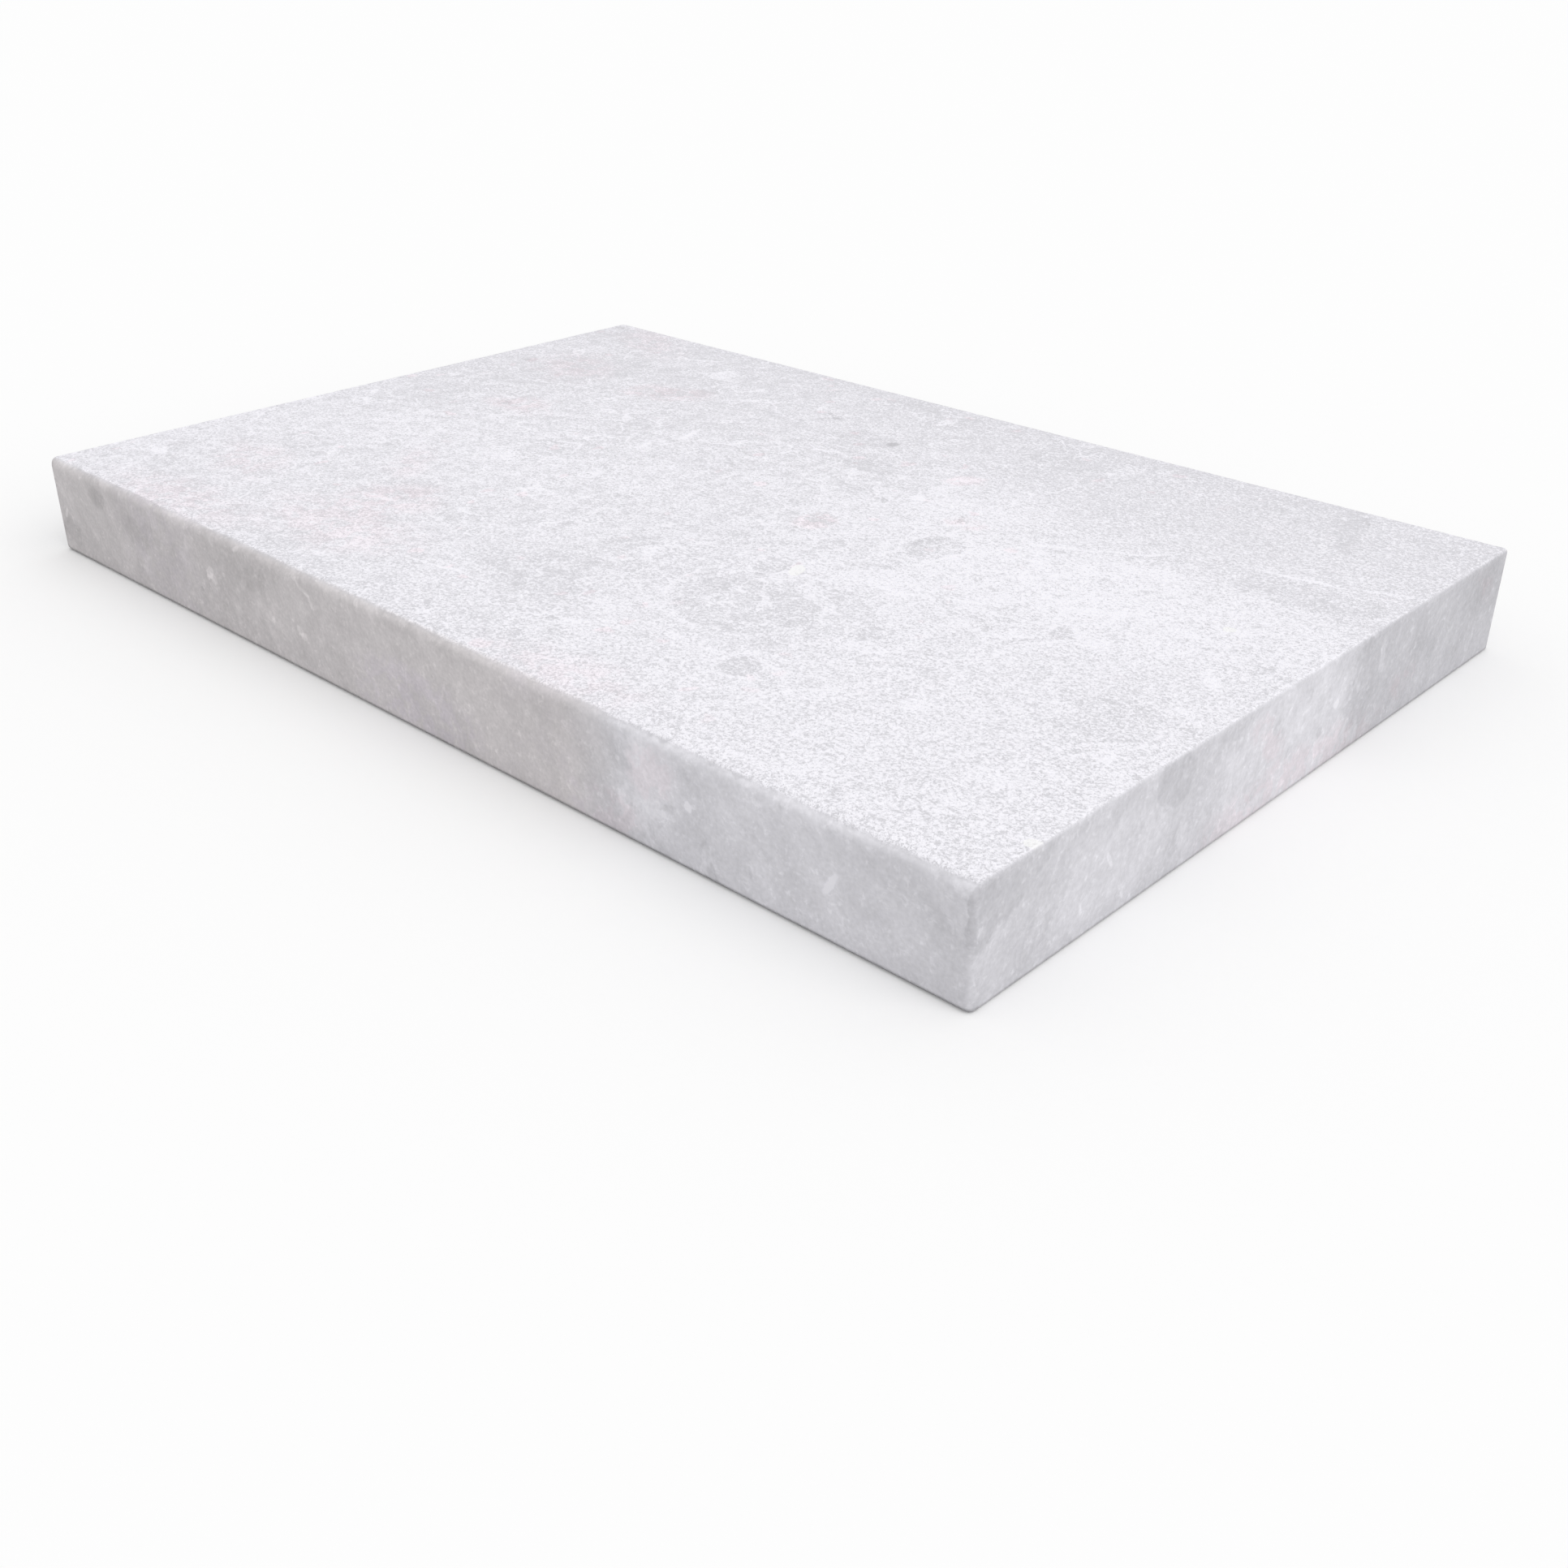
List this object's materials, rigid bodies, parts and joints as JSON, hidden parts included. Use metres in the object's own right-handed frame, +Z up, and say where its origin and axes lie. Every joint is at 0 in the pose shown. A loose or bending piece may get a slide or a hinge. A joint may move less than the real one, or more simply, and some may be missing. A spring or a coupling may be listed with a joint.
{
  "type": "coping stone",
  "caption": "Rectangular pale stone slab with a sandblasted top, one pencil-rounded long edge and eased arrises, for finishing the edge of a pool, wall or step.",
  "frame": {"origin": "middle of the flat bed, on the surface that the stone lies on", "axes": "+X along the stone's length, +Y from the rounded nose towards the back, +Z up from the bed to the top"},
  "size_m": [0.6, 0.4, 0.05],
  "materials": {
    "stone": "pale grey natural stone: sandblasted, grainy top; honed nose, back and ends; sawn bed"
  },
  "bodies": {
    "root": {"coping_stone": "stone"}
  },
  "joints": []
}
